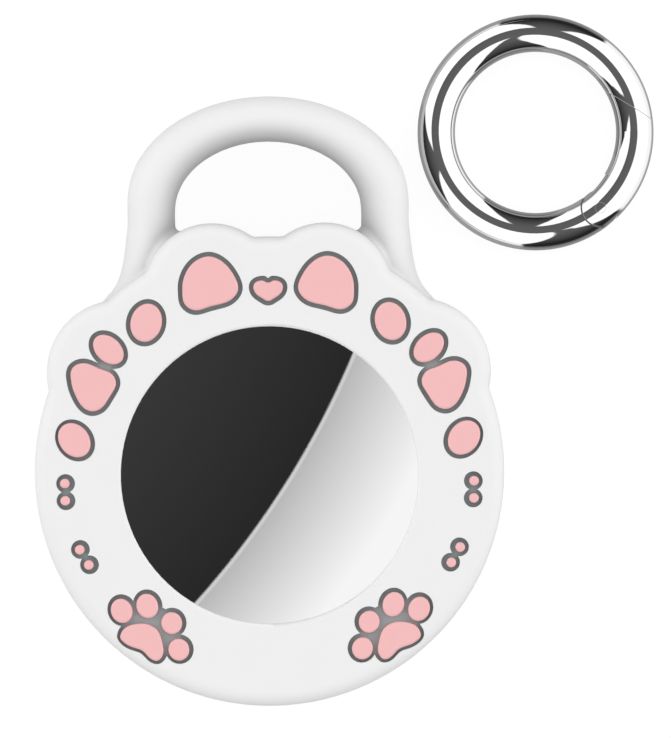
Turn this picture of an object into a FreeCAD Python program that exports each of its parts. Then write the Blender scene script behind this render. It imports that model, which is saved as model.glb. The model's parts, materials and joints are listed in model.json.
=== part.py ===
import FreeCAD, Part
import math
import os
from FreeCAD import Matrix, Vector

# A soft tracker tag holder on its back, with the coin tag in its pocket and its gate ring beside it.
# Lengths are millimetres and angles are degrees. +Z points out of the face and +Y towards the loop.
# The origin is on the tag's axis, on the holder's flat back.

# Coin cell
battery_diameter = 20.0
battery_height = 3.2
battery_cap_diameter = 17.6
battery_cap_step = 0.15
battery_edge_radius = 0.25
battery_side_gap = 0.3
battery_headroom = 0.65

# Cell contacts on the carrier floor
contact_count = 3
contact_thickness = 0.25
contact_width = 1.8
contact_length = 4.6
contact_inner_radius = 3.2

# Antenna carrier
carrier_floor = 0.6
carrier_wall = 0.6
carrier_side_gap = 0.15
carrier_window_arc = 24.0

# Circuit board and its chips
board_thickness = 0.6
board_side_gap = 0.2
board_notch_diameter = 1.6
board_notch_count = 3
chip_height = 0.7
chip_floor_gap = 0.2
main_chip_side = 4.0
radio_chip_length = 3.2
radio_chip_width = 2.4
memory_chip_length = 2.6
memory_chip_width = 1.8
passive_length = 1.2
passive_width = 0.7

# Sounder under the carrier
coil_inner_diameter = 9.2
coil_wall = 0.8
coil_height = 1.1
coil_board_gap = 0.5
magnet_side_gap = 0.3
magnet_height = 1.2
magnet_chamfer = 0.25

# Tag shell
shell_floor = 1.3
shell_back_bulge = 0.5
shell_back_round = 4.0
shell_widest_height = 3.4
shell_shoulder_width = 0.7
shell_shoulder_round = 2.3
shell_ledge = 1.05

# Steel cover and its bayonet
cover_sheet = 0.5
cover_dome = 0.25
cover_side_gap = 0.08
cover_edge_radius = 0.1
cover_rim_depth = 0.6
cover_skirt_gap = 0.2
cover_wall_gap = 0.35
seal_thickness = 0.5
seal_gap = 0.05
bayonet_count = 3
bayonet_gap = 0.1
lug_depth = 1.0
lug_thickness = 0.7
lug_arc = 30.0
tab_thickness = 0.6
tab_floor_gap = 1.0
tab_side_gap = 0.25
tab_arc = 25.0
cover_turn = 30.0
stop_depth = 0.6
stop_arc = 6.0
stop_slack = 1.0

# Silicone holder
holder_wall = 4.05
holder_back = 1.6
pocket_gap = 0.15
window_overlap = 0.12
window_lip = 0.34
window_lip_gap = 0.06
window_edge_radius = 0.25
rim_rise = 0.32
face_edge_radius = 1.2
back_edge_radius = 1.0

# Lobes along the upper edge of the face
top_lobe_radius = 5.85
top_lobe_stand = 1.9
side_lobe_radius = 6.24
side_lobe_stand = 1.5
notch_radius = 1.0
middle_notch_width = 1.9
lobe_spacing = 3.6

# Hanging loop
loop_inner_width = 16.08
loop_leg_bar = 4.1
loop_top_bar = 3.9
loop_depth = 5.6
loop_clear_height = 8.26
loop_inner_rise = 5.96
loop_outer_rise = 8.98
loop_leg_drop = 10.0
loop_flare = 2.9
loop_root_radius = 0.5
loop_leg_steps = 4
loop_arch_steps = 6

# Inlaid pads of the face, each in a grey-filled recess
recess_depth = 1.0
backing_thickness = 0.25
backing_border = 0.36
low_border = 0.3
pad_spread = 3.0
dot_border = 0.36
recess_shift = 0.07
inlay_gap = 0.03
pad_proud = 0.12
pad_edge_radius = 0.2
top_pad_width = 4.86
top_pad_height = 4.64
heart_width = 2.56
heart_height = 1.75
oval_pad_length = 3.32
oval_pad_width = 2.67
oval_pad_turn = 105.0
side_toe_length = 3.0
side_toe_width = 2.1
side_toe_turn = 43.0
side_palm_width = 3.9
side_palm_height = 4.14
low_pad_length = 3.17
low_pad_width = 2.53
low_pad_turn = 53.0
dot_diameter = 0.83
paw_big_toe_length = 2.12
paw_big_toe_width = 1.83
paw_big_toe_turn = 70.0
paw_small_toe_length = 1.89
paw_small_toe_width = 1.78
paw_small_toe_turn = 75.0
paw_palm_width = 3.7
paw_palm_height = 3.26
paw_web_diameter = 3.6

# Gate ring
ring_diameter = 20.5
ring_wire = 3.25
ring_x = 23.24
ring_y = 29.47
gate_hinge_angle = -50.0
gate_span = 64.0
gate_seam_slack = 14.0
gate_seam_gap = 0.05
hinge_gap = 0.1
ear_inset = 0.05
pin_diameter = 0.9
pin_gap = 0.03
tongue_diameter = 3.2
tongue_thickness = 1.1
tongue_gap = 0.06
slot_radius = 3.0
slot_skin = 0.35
spring_thickness = 0.18
spring_width = 0.8

# How far a cutting solid runs past what it cuts, and the closeness used to pick edges
overrun = 0.4
closeness = 0.001

# Outlines of the pads on the right half, as shares of half their width and height, and half a heart
top_pad_outline_shares = [
    (0.99, -0.2), (0.88, 0.36), (0.52, 0.83), (0.02, 1.0), (-0.48, 0.76), (-0.86, 0.24),
    (-0.98, -0.22), (-0.68, -0.64), (0.02, -0.86), (0.56, -0.99), (0.92, -0.74),
]
heart_half_shares = [
    (0.0, -1.0), (0.34, -0.8), (0.71, -0.44), (0.96, 0.08), (0.96, 0.6), (0.54, 1.0),
    (0.24, 0.94), (0.0, 0.81),
]
side_palm_outline_shares = [
    (0.99, 0.4), (0.76, 0.9), (0.36, 0.98), (-0.3, 0.74), (-0.82, 0.52), (-1.0, 0.16),
    (-0.72, -0.42), (-0.34, -0.9), (0.1, -1.02), (0.46, -0.84), (0.8, -0.32),
]
paw_palm_outline_shares = [
    (0.97, 0.36), (0.76, 0.76), (0.22, 0.98), (-0.36, 0.93), (-0.78, 0.58), (-0.97, -0.05),
    (-1.0, -0.62), (-0.74, -0.97), (-0.4, -0.83), (-0.06, -0.45), (0.42, -0.24), (0.82, 0.02),
]

# Each motif's bearing from +Y towards +X, and its share of the way from the window to the rim
top_place_share = (16.76, 0.599)
heart_place_share = (0.0, 0.411)
oval_place_share = (38.6, 0.546)
side_place_share = (57.25, 0.589)
low_place_share = (79.5, 0.573)
upper_dots_place_share = (94.41, 0.653)
lower_dots_place_share = (113.59, 0.625)
paw_place_share = (142.3, 0.499)

# Where the pads of a motif lie from its place, as shares of the spread
side_toe_shares = [(-0.22, 0.529)]
side_palm_shares = [(0.221, -0.529)]
upper_dot_shares = [(0.004, 0.246), (-0.004, -0.246)]
lower_dot_shares = [(0.128, 0.22), (-0.129, -0.219)]
paw_big_toe_shares = [(0.897, 0.484), (0.164, 0.619)]
paw_small_toe_shares = [(-0.532, 0.124), (-0.73, -0.636)]
paw_palm_shares = [(0.341, -0.423)]
lone_pad_shares = [(0.0, 0.0)]

# Chips under the board: bearing, and share of the way from the board's bore to its edge
main_chip_place_shares = [(0.0, 0.52)]
radio_chip_place_shares = [(62.0, 0.5)]
memory_chip_place_shares = [(118.0, 0.5)]
passive_place_shares = [
    (150.0, 0.35), (150.0, 0.65), (165.0, 0.5), (190.0, 0.35), (190.0, 0.65), (230.0, 0.5), (320.0, 0.5),
]

# Where the gate spring bends, in the slot: shares of the slot's radius along and across the gate
spring_bend_shares = [(0.9, -0.32), (0.92, 0.1), (0.57, -0.12)]

# Tag radii, from the cell outwards
battery_r = battery_diameter / 2
carrier_wall_inner_r = battery_r + battery_side_gap
carrier_wall_outer_r = carrier_wall_inner_r + carrier_wall
skirt_inner_r = carrier_wall_outer_r + cover_wall_gap
skirt_r = skirt_inner_r + cover_sheet
lug_inner_r = skirt_r + cover_skirt_gap
opening_r = lug_inner_r + lug_depth
cover_r = opening_r - cover_side_gap
tab_r = opening_r - tab_side_gap
shoulder_r = opening_r + shell_shoulder_width
tag_r = shoulder_r + shell_shoulder_round
board_cavity_r = opening_r - shell_ledge
board_r = board_cavity_r - board_side_gap
coil_r = coil_inner_diameter / 2 + coil_wall
board_bore_r = coil_r + coil_board_gap
magnet_r = coil_inner_diameter / 2 - magnet_side_gap

# Tag heights, from the back of its shell
board_z = shell_floor + chip_floor_gap + chip_height
carrier_z = board_z + board_thickness
carrier_top_z = carrier_z + carrier_floor
battery_z = carrier_top_z + contact_thickness
battery_top_z = battery_z + battery_height
tag_height = battery_top_z + battery_headroom + cover_sheet
tab_z = carrier_top_z + tab_floor_gap
tab_top_z = tab_z + tab_thickness
lug_z = tab_top_z + bayonet_gap
lug_top_z = lug_z + lug_thickness
cover_rim_z = lug_top_z + bayonet_gap
shoulder_z = cover_rim_z + cover_rim_depth
cover_rim_top_z = tag_height - cover_dome

# Holder radii and heights
window_r = cover_r - window_overlap
rim_r = tag_r + pocket_gap + holder_wall
tag_z = holder_back + pocket_gap
pocket_top_z = tag_z + shoulder_z + pocket_gap
lip_z = tag_z + cover_rim_top_z + window_lip_gap
face_z = lip_z + window_lip
recess_z = face_z - recess_depth
pad_z = recess_z + backing_thickness
pad_top_z = face_z + pad_proud

# Ring radii
wire_r = ring_wire / 2
ring_r = ring_diameter / 2 - wire_r

up = Vector(0, 0, 1)
centre = Vector(0, 0, 0)


def polar(radius, bearing, z=0):
    """Point at a radius and at a bearing, measured from +Y towards +X."""
    angle = math.radians(bearing)
    return Vector(radius * math.sin(angle), radius * math.cos(angle), z)


def unit(vector):
    """Vector of the same direction and of length one."""
    return vector / vector.Length


def drum(radius, low, high, at=centre):
    """Upright cylinder between two heights."""
    return Part.makeCylinder(radius, high - low, Vector(at.x, at.y, low))


def tube(inner, outer, low, high):
    """Upright tube about the origin."""
    return drum(outer, low, high).cut(drum(inner, low, high))


def sector(inner, outer, low, high, middle, arc):
    """Piece of an upright tube, centred on an angle from +X."""
    wedge = Part.makeCylinder(outer, high - low, Vector(0, 0, low), up, arc)
    wedge.rotate(centre, up, middle - arc / 2)
    return wedge.cut(drum(inner, low, high))


def slab(length, width, low, high, angle=0, at=centre):
    """Upright box centred on a point, with its length turned by an angle from +X."""
    box = Part.makeBox(length, width, high - low, Vector(-length / 2, -width / 2, low))
    box.rotate(centre, up, angle)
    box.translate(Vector(at.x, at.y, 0))
    return box


def bar(start, end, width, low, high):
    """Upright bar between two plan points, with round ends."""
    run = end - start
    angle = math.degrees(math.atan2(run.y, run.x))
    middle = slab(run.Length, width, low, high, angle, (start + end) / 2)
    ends = [drum(width / 2, low, high, at) for at in (start, end)]
    return middle.fuse(ends).removeSplitter()


def evenly(count):
    """Angles of a round pattern."""
    return [360 * index / count for index in range(count)]


def turned(edges):
    """Solid made by turning a closed half profile about the Z axis."""
    return Part.Face(Part.Wire(edges)).revolve(centre, up, 360)


def path(points):
    """Straight edges through points."""
    return [Part.LineSegment(start, end).toShape() for start, end in zip(points, points[1:])]


def level_edges(shape, z):
    """Edges that lie at a height."""
    real = [edge for edge in shape.Edges if not edge.Degenerated]
    return [e for e in real if abs(e.BoundBox.ZMin - z) + abs(e.BoundBox.ZMax - z) < closeness]


def edges_at(shape, radius, z):
    """Circular edges of a radius about the Z axis at a height."""
    found = []
    for edge in level_edges(shape, z):
        if isinstance(edge.Curve, Part.Circle) and abs(edge.Curve.Radius - radius) < closeness:
            found.append(edge)
    return found


def ball_radius(span, rise):
    """Radius of the ball whose cap has a span, from its axis to its edge, and a rise."""
    return (span * span + rise * rise) / (2 * rise)


def dome_drop(radius, span, rise):
    """How far a spherical dome has dropped, at a radius, from its crown."""
    ball = ball_radius(span, rise)
    return ball - math.sqrt(ball * ball - radius * radius)


def tag_envelope(grow):
    """Outside of the tag up to its flat shoulder, grown on all sides."""
    back_r = tag_r - shell_back_round
    back_z = shell_back_bulge - grow
    diagonal_share = math.sqrt(0.5)
    crown = Vector(0, 0, -grow)
    inside_dome = Vector(back_r / 2, 0, dome_drop(back_r / 2, back_r, shell_back_bulge) - grow)
    back_edge = Vector(back_r, 0, back_z)
    widest = Vector(tag_r + grow, 0, shell_widest_height)
    shoulder = Vector(shoulder_r, 0, shoulder_z + grow)
    lower = Vector(back_r + (widest.x - back_r) * diagonal_share, 0,
                   widest.z - (widest.z - back_z) * diagonal_share)
    upper = Vector(shoulder.x + (widest.x - shoulder.x) * diagonal_share, 0,
                   widest.z + (shoulder.z - widest.z) * diagonal_share)
    side = Part.BSplineCurve()
    side.interpolate(Points=[back_edge, lower, widest, upper, shoulder],
                     InitialTangent=Vector(back_r, 0, 2 * shell_back_bulge), FinalTangent=Vector(-1, 0, 0))
    edges = [Part.Arc(crown, inside_dome, back_edge).toShape(), side.toShape()]
    return turned(edges + path([shoulder, Vector(0, 0, shoulder.z), crown]))


def tag_shell():
    """White shell with its stepped cavity, bayonet lugs and stops."""
    shell = tag_envelope(0)
    shell = shell.cut(drum(board_cavity_r, shell_floor, shoulder_z))
    shell = shell.cut(drum(opening_r, carrier_z, shoulder_z + overrun))
    stop_offset = (tab_arc + stop_arc) / 2 + stop_slack
    stop_r = opening_r - stop_depth
    additions = []
    for angle in evenly(bayonet_count):
        additions.append(sector(lug_inner_r, opening_r + overrun, lug_z, lug_top_z, angle, lug_arc))
        for middle in (angle - stop_offset, angle + cover_turn + stop_offset):
            additions.append(sector(stop_r, opening_r + overrun, tab_z, lug_z, middle, stop_arc))
    return shell.fuse(additions).removeSplitter()


def under_dome(solid, crown_z):
    """The part of a solid that lies under the cover's dome, with the dome's crown at a height."""
    ball = ball_radius(cover_r, cover_dome)
    return solid.common(Part.makeSphere(ball, up * (crown_z - ball), Vector(-1, 0, 0)))


def tag_cover():
    """Polished steel cap with a skirt and bayonet tabs."""
    cap = drum(cover_r, cover_rim_z, tag_height).fuse(drum(skirt_r, tab_z, cover_rim_z))
    cap = under_dome(cap.removeSplitter(), tag_height)
    cap = cap.cut(under_dome(drum(skirt_inner_r, tab_z, tag_height), tag_height - cover_sheet))
    cap = cap.makeFillet(cover_edge_radius, edges_at(cap, cover_r, cover_rim_top_z))
    tabs = [sector(skirt_inner_r, tab_r, tab_z, tab_top_z, angle, tab_arc)
            for angle in evenly(bayonet_count)]
    return cap.fuse(tabs).removeSplitter()


def seal_top_z():
    """Height of the seal's top, just under the cover at the seal's outer edge."""
    drop = dome_drop(carrier_wall_outer_r, cover_r, cover_dome)
    return tag_height - cover_sheet - drop - seal_gap


def battery_seal():
    """Flat seal on the carrier wall."""
    return tube(carrier_wall_inner_r, carrier_wall_outer_r, seal_top_z() - seal_thickness, seal_top_z())


def battery():
    """Coin cell with its smaller cap below."""
    can = drum(battery_r, battery_z + battery_cap_step, battery_top_z)
    rims = edges_at(can, battery_r, battery_top_z) + edges_at(can, battery_r, battery_z + battery_cap_step)
    can = can.makeFillet(battery_edge_radius, rims)
    cap = drum(battery_cap_diameter / 2, battery_z, battery_z + battery_cap_step)
    return can.fuse(cap).removeSplitter()


def battery_contacts():
    """Contact fingers between the carrier floor and the cell."""
    fingers = []
    for angle in evenly(contact_count):
        start = polar(contact_inner_radius, angle)
        end = polar(contact_inner_radius + contact_length - contact_width, angle)
        fingers.append(bar(start, end, contact_width, carrier_top_z, battery_z))
    return Part.makeCompound(fingers)


def antenna_carrier():
    """Carrier floor on the shell's ledge, with a windowed wall round the cell."""
    floor = drum(opening_r - carrier_side_gap, carrier_z, carrier_top_z)
    wall_top_z = seal_top_z() - seal_thickness
    wall = tube(carrier_wall_inner_r, carrier_wall_outer_r, carrier_top_z, wall_top_z)
    windows = []
    for angle in evenly(contact_count):
        window_top_z = (battery_z + wall_top_z) / 2
        windows.append(sector(carrier_wall_inner_r - overrun, carrier_wall_outer_r + overrun,
                              carrier_top_z, window_top_z, angle, carrier_window_arc))
    return floor.fuse(wall.cut(Part.makeCompound(windows))).removeSplitter()


def circuit_board():
    """Ring-shaped board under the carrier, notched at its edge."""
    board = tube(board_bore_r, board_r, board_z, carrier_z)
    notches = [drum(board_notch_diameter / 2, board_z - overrun, carrier_z + overrun, polar(board_r, angle))
               for angle in evenly(board_notch_count)]
    return board.cut(Part.makeCompound(notches))


def board_chips():
    """Chips on the underside of the board."""
    kinds = [
        (main_chip_place_shares, main_chip_side, main_chip_side),
        (radio_chip_place_shares, radio_chip_length, radio_chip_width),
        (memory_chip_place_shares, memory_chip_length, memory_chip_width),
        (passive_place_shares, passive_length, passive_width),
    ]
    chips = []
    for place_shares, length, width in kinds:
        for bearing, share in place_shares:
            at = polar(board_bore_r + share * (board_r - board_bore_r), bearing)
            chips.append(slab(length, width, board_z - chip_height, board_z, -bearing, at))
    return Part.makeCompound(chips)


def sound_coil():
    """Coil of the sounder on the shell's floor."""
    return tube(coil_inner_diameter / 2, coil_r, shell_floor, shell_floor + coil_height)


def sound_magnet():
    """Magnet of the sounder, under the carrier's floor."""
    low = carrier_z - magnet_height
    magnet = drum(magnet_r, low, carrier_z)
    return magnet.makeChamfer(magnet_chamfer, edges_at(magnet, magnet_r, low))


def notch_angle(lobe_radius, stand):
    """Bearing from a lobe's middle to the middle of the rounded notch beside it."""
    lobe_centre_r = rim_r + stand - lobe_radius
    near = rim_r + notch_radius
    far = lobe_radius + notch_radius
    cosine = (near * near + lobe_centre_r * lobe_centre_r - far * far) / (2 * near * lobe_centre_r)
    return math.degrees(math.acos(cosine))


def lobes():
    """The four lobes of the rim by bearing, as bearing, radius and stand."""
    top_angle = notch_angle(top_lobe_radius, top_lobe_stand)
    side_angle = notch_angle(side_lobe_radius, side_lobe_stand)
    top = math.degrees(middle_notch_width / 2 / rim_r) + top_angle
    side = top + top_angle + math.degrees(lobe_spacing / rim_r) + side_angle
    right = [(top, top_lobe_radius, top_lobe_stand), (side, side_lobe_radius, side_lobe_stand)]
    return [(-bearing, radius, stand) for bearing, radius, stand in reversed(right)] + right


def notch_arc(bearing, radius, stand, side):
    """Rounded notch on one side of a lobe, as its points on the rim, in the notch and on the lobe."""
    lobe_centre = polar(rim_r + stand - radius, bearing)
    notch_bearing = bearing + side * notch_angle(radius, stand)
    notch_centre = polar(rim_r + notch_radius, notch_bearing)
    on_rim = polar(rim_r, notch_bearing)
    on_lobe = lobe_centre + unit(notch_centre - lobe_centre) * radius
    bottom = notch_centre + unit(on_rim + on_lobe - notch_centre * 2) * notch_radius
    return on_rim, bottom, on_lobe


def holder_outline():
    """Closed face outline of the holder: rim arcs, rounded notches and lobes."""
    edges = []
    places = lobes()
    for index, (bearing, radius, stand) in enumerate(places):
        left = notch_arc(bearing, radius, stand, -1)
        right = notch_arc(bearing, radius, stand, 1)
        peak = polar(rim_r + stand, bearing)
        turn = 360 * ((index + 1) // len(places))
        next_bearing, next_radius, next_stand = places[(index + 1) % len(places)]
        rim_start = bearing + notch_angle(radius, stand)
        rim_end = next_bearing + turn - notch_angle(next_radius, next_stand)
        rim_points = [polar(rim_r, share) for share in (rim_start, (rim_start + rim_end) / 2, rim_end)]
        edges.append(Part.Arc(*left))
        edges.append(Part.Arc(left[2], peak, right[2]))
        edges.append(Part.Arc(*reversed(right)))
        edges.append(Part.Arc(*rim_points))
    wire = Part.Wire([edge.toShape() for edge in edges])
    wire.translate(Vector(0, rim_rise, 0))
    return wire


def loop_stations():
    """Inner and outer edge of the loop's bar, from the right foot over the arch to the left foot."""
    inner_half = loop_inner_width / 2
    outer_half = inner_half + loop_leg_bar
    inner_top_y = rim_rise + rim_r + loop_clear_height
    inner_y = inner_top_y - loop_inner_rise
    outer_y = inner_top_y + loop_top_bar - loop_outer_rise
    right = []
    for step in range(loop_leg_steps, 0, -1):
        share = step / loop_leg_steps
        drop = loop_leg_drop * share
        right.append((Vector(inner_half, inner_y - drop, 0),
                      Vector(outer_half + loop_flare * share ** 3, outer_y - drop, 0)))
    for step in range(loop_arch_steps + 1):
        angle = math.pi / 2 * step / loop_arch_steps
        right.append((Vector(inner_half * math.cos(angle), inner_y + loop_inner_rise * math.sin(angle), 0),
                      Vector(outer_half * math.cos(angle), outer_y + loop_outer_rise * math.sin(angle), 0)))
    left = [(Vector(-inner.x, inner.y, 0), Vector(-outer.x, outer.y, 0)) for inner, outer in right[-2::-1]]
    return right + left


def hanging_loop():
    """Loop of oval section, lofted along its stations."""
    sections = []
    for inner, outer in loop_stations():
        middle = (inner + outer) / 2 + up * (face_z / 2)
        across = (outer - inner) / 2
        along = unit(across.cross(up))
        half_depth = loop_depth / 2
        place = Matrix(across.x, 0, along.x, middle.x,
                       across.y, 0, along.y, middle.y,
                       0, half_depth, 0, middle.z,
                       0, 0, 0, 1)
        sections.append(Part.Wire(Part.makeCircle(1).transformGeometry(place)))
    return Part.makeLoft(sections, True, False)


def oval_face(length, width, turn, grow):
    """Oval with its length turned from +X."""
    stretch = Matrix()
    stretch.scale(length / 2 + grow, width / 2 + grow, 1)
    face = Part.Face(Part.Wire(Part.makeCircle(1).transformGeometry(stretch)))
    face.rotate(centre, up, turn)
    return face


def smooth_curve(points):
    """Closed smooth curve through points."""
    curve = Part.BSplineCurve()
    curve.interpolate(Points=points, PeriodicFlag=True)
    return curve


def grown_points(points, curve, grow):
    """Points of a curve moved square to it, away from what it goes round."""
    tangents = [curve.tangent(curve.parameter(point))[0] for point in points]
    return [point + Vector(along.y, -along.x, 0) * grow for point, along in zip(points, tangents)]


def box_points(width, height, shares):
    """Points at shares of half a box's width and height."""
    return [Vector(x_share * width / 2, y_share * height / 2, 0) for x_share, y_share in shares]


def shaped_face(width, height, shares, grow):
    """Smooth outline through shares of a box, grown square to its own edge."""
    points = box_points(width, height, shares)
    if grow > 0:
        points = grown_points(points, smooth_curve(points), grow)
    return Part.Face(Part.Wire(smooth_curve(points).toShape()))


def half_curve(points):
    """Smooth curve through points, level at both ends, up the right half of a shape."""
    curve = Part.BSplineCurve()
    curve.interpolate(Points=points, InitialTangent=Vector(1, 0, 0), FinalTangent=Vector(-1, 0, 0))
    return curve


def heart_face(grow):
    """Heart of two like halves, grown square to its own edge."""
    points = box_points(heart_width, heart_height, heart_half_shares)
    if grow > 0:
        points = grown_points(points, half_curve(points), grow)
    half = half_curve(points).toShape()
    return Part.Face(Part.Wire([half, mirrored(half)]))


def placed(face, place_share, pad_shares):
    """Copies of a face at shares of the spread from a motif's place."""
    bearing, share = place_share
    place = polar(window_r + share * (rim_r - window_r), bearing)
    copies = []
    for x_share, y_share in pad_shares:
        copy = face.copy()
        copy.translate(place + Vector(x_share, y_share, 0) * pad_spread)
        copies.append(copy)
    return copies


def top_pads(grow):
    pad = shaped_face(top_pad_width, top_pad_height, top_pad_outline_shares, grow)
    return placed(pad, top_place_share, lone_pad_shares)


def hearts(grow):
    return placed(heart_face(grow), heart_place_share, lone_pad_shares)


def oval_pads(grow):
    pad = oval_face(oval_pad_length, oval_pad_width, oval_pad_turn, grow)
    return placed(pad, oval_place_share, lone_pad_shares)


def side_toes(grow):
    toe = oval_face(side_toe_length, side_toe_width, side_toe_turn, grow)
    return placed(toe, side_place_share, side_toe_shares)


def side_palms(grow):
    palm = shaped_face(side_palm_width, side_palm_height, side_palm_outline_shares, grow)
    return placed(palm, side_place_share, side_palm_shares)


def low_pads(grow):
    pad = oval_face(low_pad_length, low_pad_width, low_pad_turn, grow)
    return placed(pad, low_place_share, lone_pad_shares)


def upper_dots(grow):
    return placed(oval_face(dot_diameter, dot_diameter, 0, grow), upper_dots_place_share, upper_dot_shares)


def lower_dots(grow):
    return placed(oval_face(dot_diameter, dot_diameter, 0, grow), lower_dots_place_share, lower_dot_shares)


def paw_toes(grow):
    big = oval_face(paw_big_toe_length, paw_big_toe_width, paw_big_toe_turn, grow)
    small = oval_face(paw_small_toe_length, paw_small_toe_width, paw_small_toe_turn, grow)
    toes = placed(big, paw_place_share, paw_big_toe_shares)
    return toes + placed(small, paw_place_share, paw_small_toe_shares)


def paw_palms(grow):
    palm = shaped_face(paw_palm_width, paw_palm_height, paw_palm_outline_shares, grow)
    return placed(palm, paw_place_share, paw_palm_shares)


def paw_webs(grow):
    web = oval_face(paw_web_diameter, paw_web_diameter, 0, grow)
    return placed(web, paw_place_share, lone_pad_shares)


def raised(faces, low, high):
    """Solids standing on faces, between two heights."""
    solids = []
    for face in faces:
        base = face.copy()
        base.translate(up * low)
        solids.append(base.extrude(up * (high - low)))
    return solids


def joined(shapes):
    """One shape made of faces or solids that may overlap."""
    if len(shapes) == 1:
        return shapes[0]
    return shapes[0].fuse(shapes[1:]).removeSplitter()


def grouped(solids):
    """A solid by itself, or separate solids as one shape."""
    return solids[0] if len(solids) == 1 else Part.makeCompound(solids)


def pad_solids(faces):
    """Raised pads with rounded top edges."""
    pads = []
    for pad in raised(faces, pad_z, pad_top_z):
        pads.append(pad.makeFillet(pad_edge_radius, level_edges(pad, pad_top_z)))
    return grouped(pads)


def mirrored(shape):
    """The same shape on the left half."""
    return shape.mirror(centre, Vector(1, 0, 0))


# Each recess of the right half: name, border, shift towards the window, pads and any filled web
side_motifs = [
    ("top", backing_border, 0, {"top_pad": top_pads}, None),
    ("oval", backing_border, 0, {"oval_pad": oval_pads}, None),
    ("side", backing_border, 0, {"side_toe": side_toes, "side_palm": side_palms}, None),
    ("low", low_border, recess_shift, {"low_pad": low_pads}, None),
    ("upper_dots", dot_border, recess_shift, {"upper_dots": upper_dots}, None),
    ("lower_dots", dot_border, recess_shift, {"lower_dots": lower_dots}, None),
    ("paw", low_border, recess_shift, {"paw_toes": paw_toes, "paw_palm": paw_palms}, paw_webs),
]


def motif_region(pads, web, border, gap, shift):
    """Plan of the recess or backing under a group of pads, a border and a gap wider than they are."""
    faces = [face for make in pads.values() for face in make(border + gap)]
    if web:
        faces += web(gap)
    region = joined(faces)
    region.translate(unit(region.BoundBox.Center) * -shift)
    return region.Faces


def inlays():
    """Every backing and pad by node name, and the recesses that hold them."""
    nodes = {}
    recesses = []
    recess_top_z = pad_top_z + overrun
    for name, border, shift, pads, web in side_motifs:
        backing = grouped(raised(motif_region(pads, web, border, 0, shift), recess_z, pad_z))
        recess = grouped(raised(motif_region(pads, web, border, inlay_gap, shift), recess_z, recess_top_z))
        recesses += [recess, mirrored(recess)]
        nodes[f"right_{name}_backing"] = backing
        nodes[f"left_{name}_backing"] = mirrored(backing)
        for pad_name, make in pads.items():
            pad = pad_solids(make(0))
            nodes[f"right_{pad_name}"] = pad
            nodes[f"left_{pad_name}"] = mirrored(pad)
    nodes["heart_backing"] = grouped(raised(hearts(backing_border), recess_z, pad_z))
    nodes["heart_pad"] = pad_solids(hearts(0))
    recesses += raised(hearts(backing_border + inlay_gap), recess_z, recess_top_z)
    return nodes, recesses


def blended(first, second, radius):
    """Two solids joined, with a fillet wherever their surfaces meet."""
    whole = first.fuse(second)
    roots = []
    for edge in whole.Edges:
        if not edge.Degenerated:
            middle = Part.Vertex(edge.valueAt((edge.FirstParameter + edge.LastParameter) / 2))
            if all(solid.Shells[0].distToShape(middle)[0] < closeness for solid in (first, second)):
                roots.append(edge)
    return whole.makeFillet(radius, roots)


def holder_body(recesses):
    """One silicone moulding: lobed body, hanging loop, pocket, window and recesses."""
    body = Part.Face(holder_outline()).extrude(up * face_z)
    body = body.makeFillet(face_edge_radius, level_edges(body, face_z))
    body = body.makeFillet(back_edge_radius, level_edges(body, 0))
    body = blended(body, hanging_loop(), loop_root_radius)
    pocket = tag_envelope(pocket_gap)
    pocket.translate(up * tag_z)
    body = body.cut(pocket)
    body = body.cut(drum(cover_r + window_lip_gap, pocket_top_z - overrun, lip_z))
    body = body.cut(drum(window_r, pocket_top_z - overrun, face_z + overrun))
    body = body.makeFillet(window_edge_radius, edges_at(body, window_r, face_z))
    return body.cut(Part.makeCompound(recesses)).removeSplitter()


def on_ring(angle):
    """Point on the ring's middle line, at an angle from +X."""
    return Vector(ring_r * math.cos(math.radians(angle)), ring_r * math.sin(math.radians(angle)), 0)


def gate_wedge(gap):
    """Space on the gate's side of the hinge, up to the slanted seam at the gate's tip."""
    reach = ring_diameter
    wedge = Part.makeCylinder(reach, 2 * ring_wire, -up * ring_wire, up, gate_span * 3 / 2)
    wedge.rotate(centre, up, gate_hinge_angle)
    seam_angle = gate_hinge_angle + gate_span / 2 + 90 - gate_seam_slack
    normal = Vector(math.cos(math.radians(seam_angle)), math.sin(math.radians(seam_angle)), 0)
    tip = on_ring(gate_hinge_angle + gate_span) + normal * gap
    beyond = slab(2 * reach, 2 * reach, -2 * ring_wire, 2 * ring_wire, seam_angle, tip + normal * reach)
    return wedge.cut(beyond)


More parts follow.
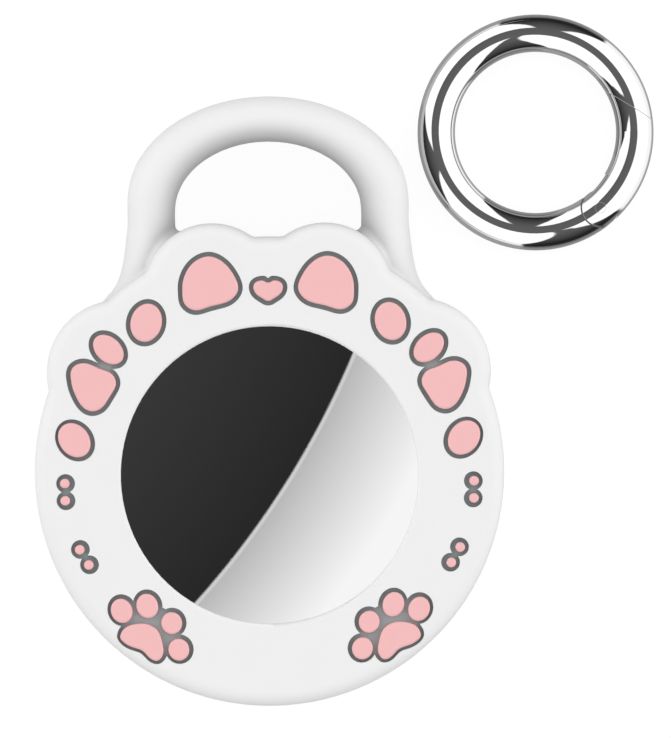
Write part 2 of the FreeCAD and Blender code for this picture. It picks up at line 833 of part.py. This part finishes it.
def ring_pieces():
    """Frame, swinging gate, hinge pin and spring of the ring, about the ring's own axis."""
    ring = Part.makeTorus(ring_r, wire_r)
    pin_at = on_ring(gate_hinge_angle)
    along = unit(up.cross(pin_at))
    outward = unit(pin_at)
    pin_r = pin_diameter / 2
    half_tongue = tongue_thickness / 2
    half_slot = half_tongue + tongue_gap

    gate_space = gate_wedge(0).fuse(drum(wire_r - ear_inset, -ring_wire, ring_wire, pin_at))
    gate = ring.common(gate_space)
    slot = drum(slot_radius, -half_slot, half_slot, pin_at)
    slot = slot.common(drum(ring_diameter / 2 - slot_skin, -half_slot, half_slot))
    slot = slot.fuse(drum(tongue_diameter / 2 + tongue_gap, -half_slot, half_slot, pin_at))
    gate = gate.cut(slot)
    gate = gate.cut(drum(pin_r + pin_gap, -ring_wire, ring_wire, pin_at)).removeSplitter()

    frame = ring.cut(gate_wedge(gate_seam_gap))
    frame = frame.cut(drum(wire_r + hinge_gap, -ring_wire, ring_wire, pin_at))
    neck_end = pin_at - along * (wire_r + hinge_gap + overrun)
    tongue = ring.common(bar(pin_at, neck_end, tongue_diameter, -half_tongue, half_tongue))
    frame = frame.fuse(tongue)
    frame = frame.cut(drum(pin_r, -ring_wire, ring_wire, pin_at)).removeSplitter()

    pin = ring.common(drum(pin_r, -ring_wire, ring_wire, pin_at))
    bends = [pin_at + along * (x_share * slot_radius) + outward * (y_share * slot_radius)
             for x_share, y_share in spring_bend_shares]
    leaves = [bar(start, end, spring_thickness, -spring_width / 2, spring_width / 2)
              for start, end in zip(bends, bends[1:])]
    return {"ring_frame": frame, "ring_gate": gate, "gate_pin": pin, "gate_spring": joined(leaves)}


def moved(pieces, offset):
    """Named pieces at their place in the assembly."""
    for shape in pieces.values():
        shape.translate(offset)
    return pieces


def tag_pieces():
    """Every piece of the coin tag, by node name."""
    return {
        "tag_shell": tag_shell(),
        "tag_cover": tag_cover(),
        "battery_seal": battery_seal(),
        "battery": battery(),
        "battery_contacts": battery_contacts(),
        "antenna_carrier": antenna_carrier(),
        "circuit_board": circuit_board(),
        "board_chips": board_chips(),
        "sound_coil": sound_coil(),
        "sound_magnet": sound_magnet(),
    }


def main():
    """Build every piece and write one file for each node."""
    os.makedirs("parts", exist_ok=True)
    nodes, recesses = inlays()
    nodes["holder_body"] = holder_body(recesses)
    nodes.update(moved(tag_pieces(), up * tag_z))
    nodes.update(moved(ring_pieces(), Vector(ring_x, ring_y, wire_r)))
    for name, shape in nodes.items():
        shape.exportStep(f"parts/{name}.step")


main()
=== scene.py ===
import json
import math
import bpy
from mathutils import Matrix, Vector


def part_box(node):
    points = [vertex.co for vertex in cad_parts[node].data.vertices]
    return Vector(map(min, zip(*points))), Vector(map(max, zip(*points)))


# A soft tracker tag holder seen straight from above, with its gate ring beside it, on a white studio floor.
# Lengths are metres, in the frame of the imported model: +Z out of the holder's face, +Y towards the loop.

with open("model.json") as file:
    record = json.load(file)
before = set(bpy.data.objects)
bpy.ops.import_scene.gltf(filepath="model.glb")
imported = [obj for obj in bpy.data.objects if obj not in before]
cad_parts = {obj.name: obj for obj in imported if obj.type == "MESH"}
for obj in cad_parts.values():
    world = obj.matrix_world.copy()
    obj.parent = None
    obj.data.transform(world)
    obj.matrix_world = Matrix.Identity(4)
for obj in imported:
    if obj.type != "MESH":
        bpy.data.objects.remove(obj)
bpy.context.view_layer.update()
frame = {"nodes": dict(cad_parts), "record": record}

# The photograph: its size, where the window's middle lies in it, what a pixel covers on the face, its roll
photo_width = 671
photo_height = 738
window_px = (269.43, 475.03)
metres_per_px = 0.000085685
photo_roll = math.radians(0.4)

# The camera above the face
camera_height = 0.6
face_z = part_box("holder_body")[1].z
sensor = 36.0

# The studio that polished pieces reflect: white all round, dark overhead, with dark wedges between panels
white_level = 1.15
dark_level = 0.012
dark_rise = 0.105
overhead_tilt = math.radians(12.5)
overhead_bearing = math.radians(128.0)
overhead_reach = math.radians(24.0)
wedge_bearings = [math.radians(angle) for angle in (79.5, 193.0, 291.0)]
wedge_near = math.radians(4.0)
wedge_far = math.radians(27.5)
edge_softness = math.radians(3.0)

# The split overhead that the cover reflects: a dark flag, and a light panel with a bright edge beside it
split_reach = math.radians(12.0)
split_bearing = math.radians(-32.0)
split_offset = 0.0119
split_bow = 0.88
split_bow_start = -0.0105
split_softness = 0.0008
flag_span = 0.11
flag_near = 0.022
flag_far = 0.041
panel_span = 0.07
panel_near = 0.5
panel_far = 0.98
panel_edge = 0.0022
panel_edge_level = 0.68

# The walls that the cover reflects when it is seen from the side
wall_low = 0.9
wall_high = 0.35

# Soft light on matte pieces: even, with more from both sides and a little more from the loop's end
soft_level = 0.53
soft_side = 1.66
soft_end = 0.18

# The lamp
key_size = 0.2
key_place = Vector((0.01, 0.04, 0.3))
key_target = Vector((0, 0.005, 0.005))
key_power = 0.06

# The floor
floor_half = 3.0
floor_drop = 0.00002
floor_tone = 0.52
floor_shadow_share = 0.14
floor_lift = 0.9

# The floor in reflections: grey near the ring as a painted shadow of the ring, then white, or dark in a
# wedge, and plain by the holder
painted_ring_shadow_tone = 0.34
far_tone = 1.0
wedge_tone = 0.02
grey_reach_left = 0.016
grey_reach_right = 0.005
grey_turn_left = -0.6
grey_turn_right = 0.8
grey_hold = 0.3
wedge_reach = 0.009
ring_side_start = 0.006
ring_side_end = 0.012
holder_side_tone = 0.5

# Surface detail: how much larger the colour's spots are than the grain, the bump, the spread of roughness
# and the part of the noise's range that it spreads over
silicone_mottle = 12
silicone_bump = 0.35
silicone_spread = 0.06
silicone_range = (0.2, 0.8)
silicone_specular = 0.35
metal_cloud = 20
metal_bump = 0.2
metal_spread = (0.8, 1.25)
metal_range = (0.3, 0.7)
metal_detail = 6.0
metal_coarseness = 0.7
plastic_cloud = 15
plastic_bump = 0.25
plastic_spread = (0.85, 1.15)
plastic_range = (0.3, 0.7)
# Samples for the painted shade in hollows
painted_shade_samples = 16

# The domed cover, how far its dome rises, and the share of that rise where the mesh's own normal takes over
cover_dome = ("tag_cover", 0.00025)
dome_rim = 1.04

# A mix node's first input and its output, for each kind of value
mix_sockets = {"FLOAT": (2, 0), "VECTOR": (4, 1), "RGBA": (6, 2)}

# Directions
up = Vector((0, 0, 1))
rightwards = Vector((1, 0, 0))
loopwards = Vector((0, 1, 0))


def node(tree, kind, **inputs):
    """New shader node, with its named inputs set to values or linked to sockets."""
    made = tree.nodes.new(kind)
    for name, value in inputs.items():
        plug(tree, made.inputs[name.replace("_", " ").title()], value)
    return made


def plug(tree, socket, value):
    """Set a socket to a plain value, or link another socket to it."""
    if isinstance(value, bpy.types.NodeSocket):
        tree.links.new(value, socket)
    else:
        socket.default_value = value


def calculate(tree, operation, *values):
    """Result of a number operation on values or sockets."""
    made = tree.nodes.new("ShaderNodeMath")
    made.operation = operation
    for socket, value in zip(made.inputs, values):
        plug(tree, socket, value)
    return made.outputs[0]


def vectors(tree, operation, *values):
    """Outputs of a vector operation on values or sockets."""
    made = tree.nodes.new("ShaderNodeVectorMath")
    made.operation = operation
    for socket, value in zip(made.inputs, values):
        plug(tree, socket, value)
    return made.outputs


def along(tree, vector, direction):
    """How far a vector socket reaches along a fixed direction."""
    return vectors(tree, "DOT_PRODUCT", vector, direction)["Value"]


def ramp(tree, value, start, end, low=0.0, high=1.0, kind="SMOOTHSTEP"):
    """Step from low to high while a socket goes from start to end, smooth or straight."""
    made = tree.nodes.new("ShaderNodeMapRange")
    made.interpolation_type = kind
    for socket, number in zip(made.inputs, (value, start, end, low, high)):
        plug(tree, socket, number)
    return made.outputs[0]


def mixed(tree, share, first, second, kind="FLOAT"):
    """Number, vector or colour between two values or sockets."""
    made = tree.nodes.new("ShaderNodeMix")
    made.data_type = kind
    first_input, output = mix_sockets[kind]
    plug(tree, made.inputs[0], share)
    plug(tree, made.inputs[first_input], first)
    plug(tree, made.inputs[first_input + 1], second)
    return made.outputs[output]


def tinted(tree, share, first, second):
    """Colour between two colours."""
    return mixed(tree, share, first, second, "RGBA")


def blended(tree, share, first, second):
    """Shader between two shaders."""
    made = tree.nodes.new("ShaderNodeMixShader")
    for socket, value in zip(made.inputs, (share, first, second)):
        plug(tree, socket, value)
    return made.outputs[0]


def grain(tree, size, detail=3.0, roughness=0.55):
    """Noise whose spots are about a given size, from 0 to 1."""
    place = tree.nodes.new("ShaderNodeTexCoord")
    made = node(tree, "ShaderNodeTexNoise", vector=place.outputs["Object"], scale=1 / size,
                detail=detail, roughness=roughness)
    return made.outputs[0]


def bumped(tree, height, depth, strength, normal=None):
    """Normal from a height socket, on the mesh's own normal or another."""
    made = node(tree, "ShaderNodeBump", strength=strength, distance=depth, height=height)
    if normal:
        plug(tree, made.inputs["Normal"], normal)
    return made.outputs["Normal"]


def dome_normal(tree, cad_node, rise):
    """Normal of the ball that a cover's dome is cut from, so that reflections stay smooth up to its rim."""
    low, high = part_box(cad_node)
    half = (high.x - low.x) / 2
    ball = (half * half + rise * rise) / (2 * rise)
    place = tree.nodes.new("ShaderNodeTexCoord").outputs["Object"]
    centre = Vector(((low.x + high.x) / 2, (low.y + high.y) / 2, high.z - ball))
    turned = tree.nodes.new("ShaderNodeVectorTransform")
    turned.vector_type = "NORMAL"
    turned.convert_from = "OBJECT"
    turned.convert_to = "WORLD"
    plug(tree, turned.inputs[0], vectors(tree, "SUBTRACT", place, centre)["Vector"])
    on_dome = ramp(tree, along(tree, place, up), high.z - rise * dome_rim, high.z - rise)
    own_normal = tree.nodes.new("ShaderNodeNewGeometry").outputs["Normal"]
    return mixed(tree, on_dome, own_normal, turned.outputs[0], "VECTOR")


# Its value is used to paint shade into the silicone's colour
def openness(tree, reach, own_shape):
    """How open a surface is, from 0 deep in a hollow to 1 in the open, by its own shape or all near it."""
    made = tree.nodes.new("ShaderNodeAmbientOcclusion")
    made.samples = painted_shade_samples
    made.only_local = own_shape
    made.inputs["Distance"].default_value = reach
    return made.outputs["AO"]


def new_material(name):
    """Material with one principled shader."""
    material = bpy.data.materials.new(name)
    material.use_nodes = True
    return material, material.node_tree, material.node_tree.nodes["Principled BSDF"]


def silicone(name, colour, deeper, roughness, grain_size, grain_depth, hollow=None):
    """Matte moulded silicone with a faint mottle, a fine skin and any painted shade darkening its hollows."""
    material, tree, shader = new_material(name)
    mottle = grain(tree, grain_size * silicone_mottle)
    skin = grain(tree, grain_size)
    tone = tinted(tree, mottle, deeper, colour)
    if hollow:
        # Painted shade: the colour darkens towards the shade tone as the surface closes in
        painted_shade_colour, reach, own_shape, closed, opened = hollow
        tone = tinted(tree, ramp(tree, openness(tree, reach, own_shape), closed, opened, kind="LINEAR"),
                      painted_shade_colour, tone)
    plug(tree, shader.inputs["Base Color"], tone)
    gloss = ramp(tree, skin, *silicone_range, roughness - silicone_spread, roughness + silicone_spread)
    plug(tree, shader.inputs["Roughness"], gloss)
    plug(tree, shader.inputs["Normal"], bumped(tree, skin, grain_depth, silicone_bump))
    shader.inputs["Specular IOR Level"].default_value = silicone_specular
    return material


def metal(name, colour, deeper, roughness, scratch_size, scratch_depth, dome=None):
    """Polished or satin metal with fine handling marks, on a plain piece or a domed one."""
    material, tree, shader = new_material(name)
    cloud = grain(tree, scratch_size * metal_cloud)
    marks = grain(tree, scratch_size, metal_detail, metal_coarseness)
    shader.inputs["Metallic"].default_value = 1.0
    plug(tree, shader.inputs["Base Color"], tinted(tree, cloud, deeper, colour))
    smooth, rough = [roughness * share for share in metal_spread]
    plug(tree, shader.inputs["Roughness"], ramp(tree, marks, *metal_range, smooth, rough))
    normal = dome_normal(tree, *dome) if dome else None
    plug(tree, shader.inputs["Normal"], bumped(tree, marks, scratch_depth, metal_bump, normal))
    return material


def plastic(name, colour, deeper, roughness, grain_size, grain_depth):
    """Moulded plastic with a fine surface."""
    material, tree, shader = new_material(name)
    cloud = grain(tree, grain_size * plastic_cloud)
    skin = grain(tree, grain_size)
    plug(tree, shader.inputs["Base Color"], tinted(tree, cloud, deeper, colour))
    smooth, rough = [roughness * share for share in plastic_spread]
    plug(tree, shader.inputs["Roughness"], ramp(tree, cloud, *plastic_range, smooth, rough))
    plug(tree, shader.inputs["Normal"], bumped(tree, skin, grain_depth, plastic_bump))
    return material


def grey(tone):
    """Opaque neutral colour."""
    return (tone, tone, tone, 1.0)


# Painted shade in hollows: its tone, how far it looks, whether only at its own piece, and what counts as
# closed and open
# Painted shade on the white silicone: darker in the well between the loop and the body, and along its creases
white_painted_shade = (grey(0.5), 0.016, True, 0.45, 1.0)
# Painted shade on the grey inlay: darker along the walls of its recesses
grey_painted_shade = ((0.29, 0.32, 0.32, 1), 0.0015, False, 0.1, 0.5)

# One material for each slot of the imported record: its maker, colour, deeper colour, roughness, and the size
# and depth of its grain or scratches, then any painted shade in hollows, or dome
surfaces = {
    "white_silicone": (silicone, grey(0.875), grey(0.86), 0.52, 0.00025, 0.00001, white_painted_shade),
    "grey_silicone": (silicone, (0.44, 0.535, 0.54, 1), (0.41, 0.5, 0.505, 1), 0.55, 0.0002, 0.00001,
                      grey_painted_shade),
    "pink_silicone": (silicone, (0.92, 0.515, 0.52, 1), (0.905, 0.5, 0.505, 1), 0.5, 0.0002, 0.00001),
    "white_plastic": (plastic, grey(0.86), grey(0.84), 0.18, 0.0002, 0.000004),
    "polished_steel": (metal, grey(0.94), grey(0.925), 0.002, 0.0002, 0.0000002, cover_dome),
    "seal_rubber": (silicone, grey(0.03), grey(0.02), 0.6, 0.0002, 0.00001),
    "cell_steel": (metal, grey(0.7), grey(0.62), 0.24, 0.0001, 0.000004),
    "contact_brass": (metal, (0.83, 0.66, 0.29, 1), (0.76, 0.58, 0.24, 1), 0.2, 0.0001, 0.000004),
    "carrier_plastic": (plastic, grey(0.03), grey(0.02), 0.45, 0.0001, 0.00001),
    "board_laminate": (plastic, (0.01, 0.09, 0.04, 1), (0.008, 0.06, 0.03, 1), 0.3, 0.0002, 0.000008),
    "chip_plastic": (plastic, grey(0.02), grey(0.012), 0.5, 0.0001, 0.00001),
    "coil_copper": (metal, (0.8, 0.38, 0.2, 1), (0.66, 0.28, 0.13, 1), 0.25, 0.0001, 0.00001),
    "magnet_metal": (metal, grey(0.62), grey(0.55), 0.22, 0.0001, 0.000004),
    "ring_chrome": (metal, grey(0.93), grey(0.91), 0.02, 0.0002, 0.0000002),
    "pin_steel": (metal, grey(0.93), grey(0.91), 0.03, 0.0001, 0.0000002),
    "spring_steel": (metal, grey(0.55), grey(0.48), 0.2, 0.0001, 0.000003),
}
materials = {slot: make(slot, *surface) for slot, (make, *surface) in surfaces.items()}


def dress(cad_node, material):
    """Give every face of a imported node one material."""
    piece = frame["nodes"][cad_node]
    if not piece.material_slots:
        piece.data.materials.append(material)
    for slot in piece.material_slots:
        slot.material = material


for subpart in frame["record"]["subparts"]:
    dress(subpart["node"], materials[subpart["material_slot"]])

# The ring and the cover reflect the studio and no other piece, as in the photograph
for piece in frame["nodes"].values():
    piece.visible_glossy = False


def heading(bearing, tilt=math.pi / 2):
    """Direction at a bearing from +X and a tilt from straight up."""
    return Vector((math.cos(bearing) * math.sin(tilt), math.sin(bearing) * math.sin(tilt), math.cos(tilt)))


def within(tree, look, axis, reach):
    """1 where a look lies within an angle of an axis, with a soft edge."""
    return ramp(tree, along(tree, look, axis), math.cos(reach + edge_softness / 2),
                math.cos(reach - edge_softness / 2))


def split_light(tree, look):
    """Brightness straight overhead: a dark flag with a bowed edge, and a light panel beyond it."""
    across = along(tree, look, heading(split_bearing))
    sideways = along(tree, look, heading(split_bearing + math.pi / 2))
    beside = calculate(tree, "SUBTRACT", sideways, split_bow_start)
    bow = calculate(tree, "MULTIPLY", calculate(tree, "MULTIPLY", beside, beside), split_bow)
    past = calculate(tree, "SUBTRACT", calculate(tree, "ADD", across, bow), split_offset)
    flag = ramp(tree, past, -flag_span, 0.0, flag_far, flag_near, "LINEAR")
    panel = ramp(tree, past, 0.0, panel_span, panel_near, panel_far, "LINEAR")
    edged = mixed(tree, ramp(tree, past, panel_edge - split_softness, panel_edge + split_softness),
                  panel_edge_level, panel)
    return mixed(tree, ramp(tree, past, -split_softness, split_softness), flag, edged)


def wedges(tree, look, height):
    """1 inside the dark wedges, which widen from overhead down to the horizon."""
    flat = vectors(tree, "MULTIPLY", look, Vector((1, 1, 0)))["Vector"]
    level = vectors(tree, "NORMALIZE", flat)["Vector"]
    reach = ramp(tree, height, 1.0, 0.0, wedge_near, wedge_far, "LINEAR")
    inside = 0.0
    for bearing in wedge_bearings:
        turn = calculate(tree, "ARCCOSINE", along(tree, level, heading(bearing)))
        past = calculate(tree, "SUBTRACT", turn, reach)
        inside = calculate(tree, "MAXIMUM", inside, ramp(tree, past, edge_softness / 2, -edge_softness / 2))
    return inside


def polished_view(tree, look, sharp):
    """Brightness that polished metal sees, by direction; a perfect mirror sees the split and soft walls."""
    height = along(tree, look, up)
    dark = calculate(tree, "MULTIPLY_ADD", height, dark_rise, dark_level)
    overhead = within(tree, look, heading(overhead_bearing, overhead_tilt), overhead_reach)
    shaded = calculate(tree, "MAXIMUM", wedges(tree, look, height), overhead)
    panels = mixed(tree, shaded, white_level, dark)
    walls = ramp(tree, height, 0.0, 1.0, wall_low, wall_high, "LINEAR")
    split = within(tree, look, up, split_reach)
    return mixed(tree, sharp, panels, mixed(tree, split, walls, split_light(tree, look)))


def soft_light(tree, look):
    """Light that reaches matte pieces, by direction."""
    side = along(tree, look, rightwards)
    sides = calculate(tree, "MULTIPLY_ADD", calculate(tree, "MULTIPLY", side, side), soft_side, soft_level)
    return calculate(tree, "MULTIPLY_ADD", along(tree, look, loopwards), soft_end, sides)


def studio_world():
    """Soft light for matte pieces, panels and flags for polished ones, and plain white for the camera."""
    world = bpy.data.worlds.new("studio")
    bpy.context.scene.world = world
    world.use_nodes = True
    tree = world.node_tree
    look = tree.nodes.new("ShaderNodeTexCoord").outputs["Generated"]
    rays = tree.nodes.new("ShaderNodeLightPath").outputs
    polished = polished_view(tree, look, rays["Is Singular Ray"])
    seen = mixed(tree, rays["Is Glossy Ray"], soft_light(tree, look), polished)
    background = tree.nodes["Background"]
    plug(tree, background.inputs["Strength"], mixed(tree, rays["Is Camera Ray"], seen, 1.0))
    background.inputs["Color"].default_value = grey(1.0)


def lamp(name, place, target, size, power):
    """Soft square lamp that lights the object and stays out of reflections."""
    light = bpy.data.lights.new(name, "AREA")
    light.shape = "SQUARE"
    light.size = size
    light.energy = power
    made = bpy.data.objects.new(name, light)
    made.location = place
    made.rotation_euler = (target - place).to_track_quat("-Z", "Y").to_euler()
    made.visible_glossy = False
    bpy.context.scene.collection.objects.link(made)


def ring_floor(tree):
    """Brightness of the floor in reflections, by its place round the ring, with a painted shadow in grey near
    it, and plain by the holder.
    """
    boxes = [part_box(name) for name in ("ring_frame", "ring_gate")]
    low = Vector([min(box[0][axis] for box in boxes) for axis in range(3)])
    high = Vector([max(box[1][axis] for box in boxes) for axis in range(3)])
    outer = (high.x - low.x) / 2
    wire = high.z - low.z
    middle = Vector(((low.x + high.x) / 2, (low.y + high.y) / 2, 0))
    place = tree.nodes.new("ShaderNodeTexCoord").outputs["Object"]
    from_middle = vectors(tree, "SUBTRACT", place, middle)["Vector"]
    distance = vectors(tree, "LENGTH", from_middle)["Value"]
    side = calculate(tree, "SIGN", calculate(tree, "SUBTRACT", distance, outer - wire / 2))
    scaled = tree.nodes.new("ShaderNodeVectorMath")
    scaled.operation = "SCALE"
    plug(tree, scaled.inputs[0], from_middle)
    plug(tree, scaled.inputs["Scale"], calculate(tree, "DIVIDE", side, distance))
    away = scaled.outputs["Vector"]
    gap = calculate(tree, "MAXIMUM", calculate(tree, "SUBTRACT", distance, outer),
                    calculate(tree, "SUBTRACT", outer - wire, distance))
    reach = ramp(tree, along(tree, away, rightwards), grey_turn_left, grey_turn_right,
                 grey_reach_left, grey_reach_right)
    share = ramp(tree, calculate(tree, "DIVIDE", gap, reach), grey_hold, 1.0)
    # Painted shadow of the ring: grey where the floor meets it, white farther out
    beyond = mixed(tree, share, painted_ring_shadow_tone, far_tone)
    shaded = ramp(tree, gap, 0.0, wedge_reach, painted_ring_shadow_tone, wedge_tone, "LINEAR")
    round_ring = mixed(tree, wedges(tree, away, 0.0), beyond, shaded)
    ring_side = ramp(tree, along(tree, place, rightwards), ring_side_start, ring_side_end)
    return mixed(tree, ring_side, holder_side_tone, round_ring)


def studio_floor():
    """Pale floor just under the object, white to the camera with the shadow on it, and clear from below."""
    material = bpy.data.materials.new("floor")
    material.use_nodes = True
    tree = material.node_tree
    rays = tree.nodes.new("ShaderNodeLightPath").outputs
    plain = node(tree, "ShaderNodeBsdfDiffuse", color=grey(floor_tone))
    mirrored = node(tree, "ShaderNodeEmission", color=grey(1.0), strength=ring_floor(tree))
    shadowed = node(tree, "ShaderNodeBsdfDiffuse", color=grey(floor_shadow_share))
    lift = node(tree, "ShaderNodeEmission", color=grey(1.0), strength=floor_lift)
    lifted = tree.nodes.new("ShaderNodeAddShader")
    plug(tree, lifted.inputs[0], shadowed.outputs[0])
    plug(tree, lifted.inputs[1], lift.outputs[0])
    unseen = blended(tree, rays["Is Glossy Ray"], plain.outputs[0], mirrored.outputs[0])
    above = blended(tree, rays["Is Camera Ray"], unseen, lifted.outputs[0])
    below = tree.nodes.new("ShaderNodeBsdfTransparent").outputs[0]
    from_below = tree.nodes.new("ShaderNodeNewGeometry").outputs["Backfacing"]
    surface = tree.nodes["Material Output"].inputs["Surface"]
    plug(tree, surface, blended(tree, from_below, above, below))
    corners = [(-1, -1), (1, -1), (1, 1), (-1, 1)]
    mesh = bpy.data.meshes.new("floor")
    mesh.from_pydata([(x * floor_half, y * floor_half, -floor_drop) for x, y in corners], [], [(0, 1, 2, 3)])
    mesh.materials.append(material)
    floor = bpy.data.objects.new("floor", mesh)
    bpy.context.scene.collection.objects.link(floor)


def photo_camera():
    """Camera straight above, framed and turned as the photograph is."""
    data = bpy.data.cameras.new("camera")
    data.sensor_width = sensor
    data.lens = sensor * camera_height / (photo_height * metres_per_px)
    camera = bpy.data.objects.new("camera", data)
    right = (photo_width / 2 - window_px[0]) * metres_per_px
    above = (window_px[1] - photo_height / 2) * metres_per_px
    turned_right = right * math.cos(photo_roll) + above * math.sin(photo_roll)
    turned_above = above * math.cos(photo_roll) - right * math.sin(photo_roll)
    camera.location = (turned_right, turned_above, face_z + camera_height)
    camera.rotation_euler = (0, 0, -photo_roll)
    bpy.context.scene.collection.objects.link(camera)
    bpy.context.scene.camera = camera


bpy.context.scene.view_settings.view_transform = "Standard"
studio_world()
studio_floor()
lamp("key", key_place, key_target, key_size, key_power)
photo_camera()
